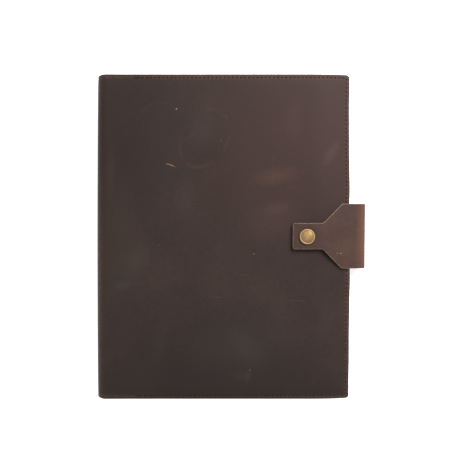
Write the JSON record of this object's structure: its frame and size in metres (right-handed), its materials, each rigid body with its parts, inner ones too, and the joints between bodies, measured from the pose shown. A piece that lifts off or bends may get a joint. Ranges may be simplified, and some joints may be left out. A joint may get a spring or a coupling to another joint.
{
  "type": "leather notebook cover",
  "caption": "Soft leather cover that wraps a hardback notebook and closes with a snapped tab over the fore edge; the notebook's boards slide into sewn pockets.",
  "frame": {"origin": "middle of the bounding box's bottom face, under the closed cover", "axes": "+X from the spine to the fore edge and its tab, +Y up the page, +Z from the back cover to the front cover"},
  "size_m": [0.2635, 0.3174, 0.0262],
  "materials": {
    "cover_leather": "dark brown waxed pull-up leather, cloudy, with light scuffs",
    "pocket_leather": "thin dark brown leather, suede side in",
    "thread": "waxed dark brown thread",
    "antique_brass": "antique brass, rubbed bright on the rim",
    "board": "black cloth-textured board",
    "pages": "cream paper edges",
    "book_cloth": "black book cloth"
  },
  "bodies": {
    "back_cover": {"back_cover_leather": "cover_leather", "back_pocket": "pocket_leather", "back_seam_thread": "thread", "tab_root": "cover_leather", "notebook_back_board": "board", "notebook_page_block": "pages"},
    "spine": {"spine_leather": "cover_leather", "notebook_spine_cloth": "book_cloth"},
    "front_cover": {"front_cover_leather": "cover_leather", "front_pocket": "pocket_leather", "front_seam_thread": "thread", "snap_stud": "antique_brass", "snap_post": "antique_brass", "notebook_front_board": "board"},
    "tab_fold": {"tab_fold": "cover_leather"},
    "tab_flap": {"tab_flap": "cover_leather", "snap_cap": "antique_brass", "snap_socket": "antique_brass"}
  },
  "joints": [
    {"name": "spine_back_bend", "type": "hinge", "parent": "back_cover", "child": "spine", "pos_m": [-0.12975, 0, 0.002], "axis": [0, -1, 0], "range_deg": [0, 89.5]},
    {"name": "spine_front_bend", "type": "hinge", "parent": "spine", "child": "front_cover", "pos_m": [-0.12975, 0, 0.0166], "axis": [0, -1, 0], "range_deg": [0, 89.5]},
    {"name": "tab_root_bend", "type": "hinge", "parent": "back_cover", "child": "tab_fold", "pos_m": [0.13057, 0, 0.00318], "axis": [0, 1, 0], "range_deg": [0, 75]},
    {"name": "tab_flap_bend", "type": "hinge", "parent": "tab_fold", "child": "tab_flap", "pos_m": [0.13057, 0, 0.01572], "axis": [0, 1, 0], "range_deg": [0, 75]}
  ],
  "couplings": [
    {"joint": "spine_back_bend", "follows": "spine_front_bend", "ratio": 1},
    {"joint": "tab_root_bend", "follows": "tab_flap_bend", "ratio": 1}
  ]
}
